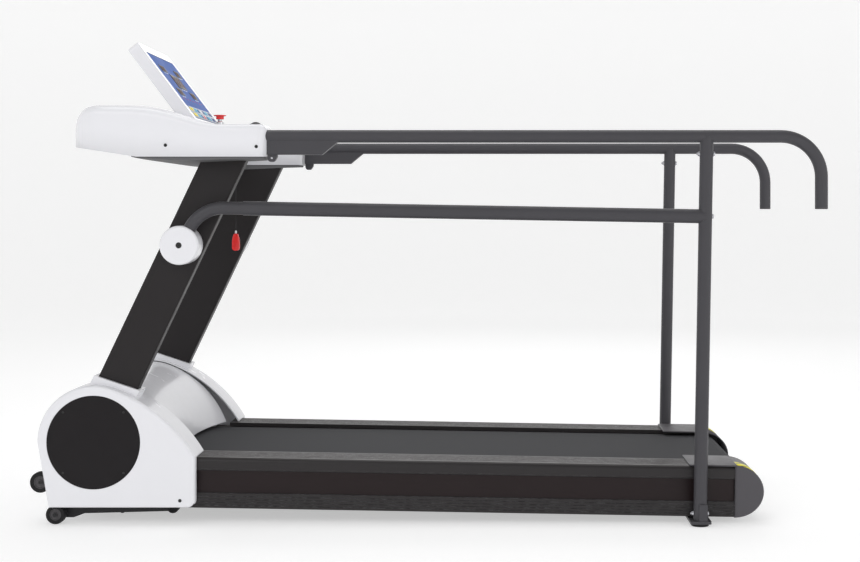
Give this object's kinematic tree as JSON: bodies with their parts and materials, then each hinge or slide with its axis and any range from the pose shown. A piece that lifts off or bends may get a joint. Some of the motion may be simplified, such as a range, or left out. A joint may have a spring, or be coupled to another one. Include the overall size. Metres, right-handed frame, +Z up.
{
  "type": "motor-driven rehabilitation treadmill",
  "caption": "Flat-deck motor treadmill with long double handrails, tilted console display, emergency stop, safety key on a cord and a powered incline frame on wheels.",
  "frame": {"origin": "on the floor, under the middle of the machine's length and width", "axes": "+Z up, -X to the console end that the walker faces, +Y to the walker's right"},
  "size_m": [2.367, 0.9224, 1.4566],
  "materials": {
    "rail_paint": "fine textured powder coat, dark grey",
    "upright_paint": "near-black anodised",
    "side_rail_metal": "satin brownish black",
    "white_shell": "glossy white",
    "dark_plastic": "satin dark grey",
    "tray_plastic": "matte grey",
    "belt_rubber": "matte, fine diamond tread",
    "wheel_rubber": "matte black",
    "cushion_rubber": "matte black",
    "deck_board": "waxed laminated board",
    "frame_paint": "black powder coat",
    "roller_steel": "ground",
    "axle_steel": "ground",
    "motor_iron": "ribbed, black paint",
    "electronics": "circuit board",
    "display_glass": "blue display face with keys",
    "stop_red": "glossy red",
    "screw_black": "black oxide",
    "bolt_steel": "zinc plated",
    "cord_black": "braided nylon"
  },
  "bodies": {
    "chassis": {"console_shell": "white_shell", "console_tray": "tray_plastic", "cover_screws": "screw_black", "crossbars": "frame_paint", "deck_cushions": "cushion_rubber", "display_board": "electronics", "display_housing": "white_shell", "display_panel": "display_glass", "drive_belt": "belt_rubber", "end_caps": "dark_plastic", "estop_collar": "tray_plastic", "frame_crossmembers": "frame_paint", "frame_rails": "frame_paint", "handrail_bolts": "bolt_steel", "handrail_plugs": "dark_plastic", "hood_discs": "dark_plastic", "hood_side_left": "white_shell", "hood_side_right": "white_shell", "hood_top": "white_shell", "hub_covers": "white_shell", "lift_pivot_brackets": "frame_paint", "low_handrail_left": "rail_paint", "low_handrail_right": "rail_paint", "motor_controller": "motor_iron", "motor_housing": "motor_iron", "power_inlet": "dark_plastic", "rear_crossbar": "rail_paint", "rear_feet": "wheel_rubber", "rear_posts": "rail_paint", "roller_axles": "axle_steel", "roller_bearings": "axle_steel", "running_belt": "belt_rubber", "running_board": "deck_board", "safety_socket": "dark_plastic", "side_rail_brackets": "frame_paint", "side_rail_left": "side_rail_metal", "side_rail_right": "side_rail_metal", "top_handrail_left": "rail_paint", "top_handrail_right": "rail_paint", "transport_wheel_brackets": "frame_paint", "upright_left": "upright_paint", "upright_right": "upright_paint"},
    "front_roller": {"front_roller": "roller_steel"},
    "rear_roller": {"rear_roller": "roller_steel"},
    "motor_rotor": {"motor_rotor": "axle_steel"},
    "lift_frame": {"lift_frame": "frame_paint"},
    "lift_wheel_left": {"lift_wheel_left": "wheel_rubber"},
    "lift_wheel_right": {"lift_wheel_right": "wheel_rubber"},
    "ram_body": {"ram_body": "motor_iron"},
    "ram_rod": {"ram_rod": "axle_steel"},
    "transport_wheel_left": {"transport_wheel_left": "wheel_rubber"},
    "transport_wheel_right": {"transport_wheel_right": "wheel_rubber"},
    "estop_stem": {"estop_stem": "bolt_steel"},
    "estop_head": {"estop_head": "stop_red"},
    "dome_button_left": {"dome_button_left": "dark_plastic"},
    "dome_button_right": {"dome_button_right": "dark_plastic"},
    "safety_key": {"safety_key": "stop_red", "safety_lanyard": "cord_black", "safety_clip": "stop_red"},
    "rocker_switch": {"rocker_switch": "stop_red"}
  },
  "joints": [
    {"name": "front_roller_spin", "type": "hinge", "parent": "chassis", "child": "front_roller", "pos_m": [-0.83428, 0, 0.14673], "axis": [0, 1, 0], "continuous": true},
    {"name": "rear_roller_spin", "type": "hinge", "parent": "chassis", "child": "rear_roller", "pos_m": [0.92145, 0, 0.11609], "axis": [0, 1, 0], "continuous": true},
    {"name": "motor_spin", "type": "hinge", "parent": "chassis", "child": "motor_rotor", "pos_m": [-1.012, 0, 0.165], "axis": [0, 1, 0], "continuous": true},
    {"name": "lift_swing", "type": "hinge", "parent": "chassis", "child": "lift_frame", "pos_m": [-0.763, 0, 0.047], "axis": [0, -1, 0], "range_deg": [0, 28]},
    {"name": "ram_swing", "type": "hinge", "parent": "chassis", "child": "ram_body", "pos_m": [-0.915, 0, 0.335], "axis": [0, -1, 0], "range_deg": [0, 2]},
    {"name": "ram_push", "type": "slide", "parent": "ram_body", "child": "ram_rod", "axis": [-0.0183, 0, -0.9998], "range_m": [0, 0.078]},
    {"name": "lift_wheel_left_roll", "type": "hinge", "parent": "lift_frame", "child": "lift_wheel_left", "pos_m": [-1.108, -0.405, 0.0285], "axis": [0, 1, 0], "continuous": true},
    {"name": "lift_wheel_right_roll", "type": "hinge", "parent": "lift_frame", "child": "lift_wheel_right", "pos_m": [-1.108, 0.405, 0.0285], "axis": [0, 1, 0], "continuous": true},
    {"name": "transport_wheel_left_roll", "type": "hinge", "parent": "chassis", "child": "transport_wheel_left", "pos_m": [-1.153, -0.407, 0.1244], "axis": [0, 1, 0], "continuous": true},
    {"name": "transport_wheel_right_roll", "type": "hinge", "parent": "chassis", "child": "transport_wheel_right", "pos_m": [-1.153, 0.407, 0.1244], "axis": [0, 1, 0], "continuous": true},
    {"name": "estop_press", "type": "slide", "parent": "chassis", "child": "estop_stem", "axis": [0, 0, -1], "range_m": [0, 0.005], "stiffness_N_per_m": 500, "springref_m": -0.003},
    {"name": "estop_twist", "type": "hinge", "parent": "estop_stem", "child": "estop_head", "pos_m": [-0.698, 0, 1.229], "axis": [0, 0, -1], "range_deg": [0, 40], "stiffness_Nm_per_rad": 0.05, "springref_deg": -5.73},
    {"name": "dome_button_left_press", "type": "slide", "parent": "chassis", "child": "dome_button_left", "axis": [0, 0, -1], "range_m": [0, 0.003], "stiffness_N_per_m": 500, "springref_m": -0.002},
    {"name": "dome_button_right_press", "type": "slide", "parent": "chassis", "child": "dome_button_right", "axis": [0, 0, -1], "range_m": [0, 0.003], "stiffness_N_per_m": 500, "springref_m": -0.002},
    {"name": "safety_key_pull", "type": "slide", "parent": "chassis", "child": "safety_key", "axis": [1, 0, 0], "range_m": [0, 0.06]},
    {"name": "power_switch", "type": "hinge", "parent": "chassis", "child": "rocker_switch", "pos_m": [-1.14116, 0.12, 0.17319], "axis": [0, 1, 0], "range_deg": [0, 12]}
  ],
  "couplings": [
    {"joint": "rear_roller_spin", "follows": "front_roller_spin", "ratio": 1},
    {"joint": "motor_spin", "follows": "front_roller_spin", "ratio": 2},
    {"joint": "ram_swing", "follows": "lift_swing", "ratio": 0.058},
    {"joint": "ram_push", "follows": "lift_swing", "m_per_rad": 0.155}
  ]
}
